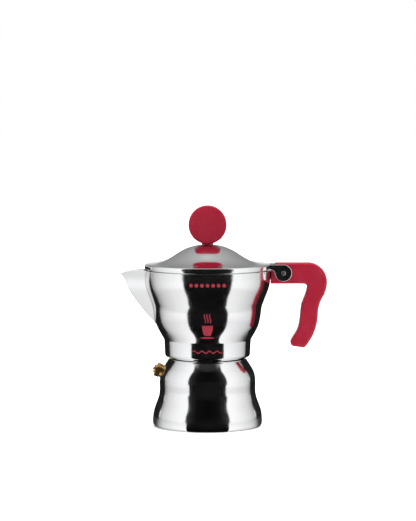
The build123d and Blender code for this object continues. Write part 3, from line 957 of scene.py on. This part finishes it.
def floor_card(name, outline, material, height):
    """A flat card lying just above the floor."""
    mesh = bpy.data.meshes.new(name)
    mesh.from_pydata([(x, y, height) for x, y in outline], [], [tuple(range(len(outline)))])
    return studio(name, mesh, material)


SOFTBOX_START, SOFTBOX_END = 47, 135
ROOF_START = 52
HIGH_SIDE_LEVEL = 0.84
ABOVE_CAMERA_LEVEL = 0.03
HORIZON_LEVEL = 0.82
MAT_LEVEL = 0.003
FLAG_LEVEL = 0.01
SIDE_STEPS = np.linspace(SOFTBOX_START, SOFTBOX_END, 45)
RISE_STEPS = np.linspace(-3, ROOF_START, 24)
BACK_RISE_STEPS = np.linspace(7, ROOF_START, 33)


def softbox_glow(azimuth):
    """Brightness at the sides: strongest beside the camera, falling away round the back."""
    places = (SOFTBOX_START, 57, 66, 76, 86, 96, 106, 114, 120, 128, SOFTBOX_END)
    levels = (1.1, 1.07, 1.02, 0.96, 0.88, 0.8, 0.7, 0.56, 0.4, 0.16, 0.04)
    return np.interp(abs(azimuth), places, levels)


def roof_glow(azimuth, elevation):
    """Grey screen behind and overhead: brightest high up at the sides, dark above the camera."""
    turn = abs(azimuth)
    rises = (7, 9, 13, 20, 35, 50, 66, 76, 90)
    level = np.interp(elevation, rises, (0.6, 0.36, 0.25, 0.28, 0.33, 0.4, 0.48, 0.64, 0.68))
    high_up = np.interp(elevation, (30, 45, 70, 90), (0, 1, 1, 0))
    beside = np.interp(turn, (40, 62, 110, 140), (0, 1, 1, 0)) * high_up
    level += (HIGH_SIDE_LEVEL - level) * beside
    above_camera = np.interp(turn, (30, 55), (1, 0)) * np.interp(elevation, (62, 80), (1, 0))
    return float(level + (ABOVE_CAMERA_LEVEL - level) * above_camera)


def side_glow(azimuth, elevation):
    """The softboxes, which meet the grey screen high up at the back."""
    level = softbox_glow(azimuth)
    high = np.interp(elevation, (12, 24), (0, 1))
    return float(level + (max(level, roof_glow(azimuth, elevation)) - level) * high)


def front_glow(azimuth, elevation):
    """The dark room behind the camera."""
    return float(np.interp(abs(azimuth), (0, 28, 36, SOFTBOX_START), (0.002, 0.004, 0.014, 0.02)))


def strip_glow(azimuth, elevation):
    """The table's far end, just above the horizon."""
    return HORIZON_LEVEL


POT_R = 0.034


def floor_glow(azimuth, reach):
    """The white table, with a painted contact shadow at the pot's foot and a painted ring of shade round the
    pot. What the pot's side mirrors there depends on the way it faces, as the softboxes do.

    A ray mirrored to this point leaves from the pot's side and not from its axis, so its direction differs
    from the point's azimuth by a shift, which is found by repetition.
    """
    turn = math.radians(abs(azimuth))
    ratio = POT_R / max(reach, POT_R)
    shift = 0.0
    for _ in range(12):
        shift = math.asin(min(1, ratio * math.sin(min((turn + shift) / 2, math.pi / 2))))
    facing = math.degrees(turn + shift)
    behind = np.interp(abs(azimuth), (160, 176), (0, 0.85)) * np.interp(reach, (0.12, 0.2), (0, 1))
    # Painted contact shadow: the sheet's glow drops to 0.12 where it meets the pot's foot.
    contact_shadow = np.interp(reach, (0.032, 0.037), (0.12, 1.0))
    # Painted shade: the sheet's glow dips in a ring round the pot, standing in for the pot's shadow on the
    # table.
    away = np.interp(reach, (0.05, 0.085, 0.13, 0.2, 0.27, 0.32), (1.0, 0.94, 0.88, 0.86, 0.97, 1.0))
    return float(max(softbox_glow(min(facing, 180)) * away, behind, 0.02) * contact_shadow)


sky_card("right_softbox", SIDE_STEPS, RISE_STEPS, side_glow)
sky_card("left_softbox", -SIDE_STEPS, RISE_STEPS, side_glow)
sky_card("back_screen", np.linspace(SOFTBOX_END, 180, 23), BACK_RISE_STEPS, roof_glow)
sky_card("back_screen_left", np.linspace(-180, -SOFTBOX_END, 23), BACK_RISE_STEPS, roof_glow)
sky_card("roof_screen", np.linspace(-180, 180, 73), np.linspace(ROOF_START, 89.9, 12), roof_glow)
sky_card("front_room", np.linspace(-SOFTBOX_START, SOFTBOX_START, 24), RISE_STEPS, front_glow)
sky_card("horizon_strip", np.linspace(120, 240, 31), (-3, 0, 4, 7), strip_glow)


SHEET_HEIGHT = 0.00002
MAT_HEIGHT = 0.00006
SHEET_REACHES = (0.001, 0.03, 0.034, 0.037, 0.041, 0.046, 0.052, 0.06, 0.07, 0.085,
                 0.1, 0.13, 0.16, 0.2, 0.24, 0.27, 0.32, 0.6, SKY_R)


def floor_sheet():
    """A round glowing sheet just above the floor, seen only by the object's gloss."""
    azimuths = range(0, 360, 3)
    points, glow, faces = [], [], []
    for reach in SHEET_REACHES:
        for azimuth in azimuths:
            turn = math.radians(azimuth)
            points.append((reach * math.sin(turn), -reach * math.cos(turn), SHEET_HEIGHT))
            glow.append(floor_glow(180 - abs(180 - azimuth), reach))
    count = len(azimuths)
    for i in range(len(SHEET_REACHES) - 1):
        for j in range(count):
            near, ahead = i * count + j, i * count + (j + 1) % count
            faces.append((near, ahead, ahead + count, near + count))
    return glow_card("floor_sheet", points, faces, glow)


floor_sheet()
FLOOR_REACH = 3.0
MAT_APEX = -0.019
floor_card("front_mat", [(0, MAT_APEX), (-FLOOR_REACH, MAT_APEX - FLOOR_REACH),
                         (FLOOR_REACH, MAT_APEX - FLOOR_REACH)], emitter("front_mat", MAT_LEVEL), MAT_HEIGHT)

# Two black cards behind the pot, left and right, whose reflections are the dark bands at its edges.
FLAG_HEIGHT = 0.104
FLAG_ENDS = ((0.114, 0.043), (0.054, 0.098))
flag_black = emitter("flag_black", FLAG_LEVEL)
for side in (-1, 1):
    flag = bpy.data.meshes.new("flag")
    (x0, y0), (x1, y1) = FLAG_ENDS
    flag.from_pydata([(side * x0, y0, 0), (side * x1, y1, 0), (side * x1, y1, FLAG_HEIGHT),
                      (side * x0, y0, FLAG_HEIGHT)], [], [(0, 1, 2, 3)])
    studio("flag_right" if side > 0 else "flag_left", flag, flag_black)

FLOOR_HALF = 8
floor_mesh = bpy.data.meshes.new("floor")
floor_mesh.from_pydata([(-FLOOR_HALF, -FLOOR_HALF, 0), (FLOOR_HALF, -FLOOR_HALF, 0),
                        (FLOOR_HALF, FLOOR_HALF, 0), (-FLOOR_HALF, FLOOR_HALF, 0)], [], [(0, 1, 2, 3)])
floor = add_object("floor", floor_mesh)
floor_nodes = Nodes("floor")
floor_nodes.set(Base_Color=(0.9, 0.9, 0.9, 1), Roughness=0.9, Specular_IOR_Level=0)
floor_nodes.set(Emission_Color=(1, 1, 1, 1), Emission_Strength=0.3)
floor_mesh.materials.append(floor_nodes.material)
floor.visible_glossy = False


def sun(name, strength, towards, softness):
    """A soft light from far away that the object's gloss doesn't see."""
    lamp = bpy.data.lights.new(name, "SUN")
    lamp.energy = strength
    lamp.angle = math.radians(softness)
    made = add_object(name, lamp)
    made.rotation_euler = Vector(towards).to_track_quat("Z", "Y").to_euler()
    made.visible_glossy = False


sun("top_light", strength=4.4, towards=(0.12, -0.06, 1.0), softness=50)
sun("front_fill", strength=0.45, towards=(0.1, -1.0, 0.35), softness=60)

# The camera sees a white background, and the object a dimmer one.
WORLD_FILL = 0.35
world = bpy.data.worlds.new("studio")
bpy.context.scene.world = world
world.use_nodes = True
world_tree = world.node_tree
backdrop = world_tree.nodes["Background"]
path = world_tree.nodes.new("ShaderNodeLightPath")
strength = world_tree.nodes.new("ShaderNodeMapRange")
strength.inputs["To Min"].default_value = WORLD_FILL
strength.inputs["To Max"].default_value = 1.0
world_tree.links.new(path.outputs["Is Camera Ray"], strength.inputs[0])
world_tree.links.new(strength.outputs[0], backdrop.inputs["Strength"])
backdrop.inputs["Color"].default_value = (1, 1, 1, 1)
world.cycles_visibility.glossy = False

# The camera looks a little down on the pot from the front. Its lens and sensor are in millimetres.
SENSOR_WIDTH = 36
LENS = 165.8
CAMERA_PLACE = (0.0003, -1.5796, 0.2273)
CAMERA_DIP = 4.26
camera_data = bpy.data.cameras.new("camera")
camera_data.sensor_width = SENSOR_WIDTH
camera_data.lens = LENS
camera_data.clip_end = 30
camera = add_object("camera", camera_data)
camera.location = CAMERA_PLACE
camera.rotation_euler = (math.radians(90 - CAMERA_DIP), 0, 0)
bpy.context.scene.camera = camera
bpy.context.scene.view_settings.view_transform = "Standard"
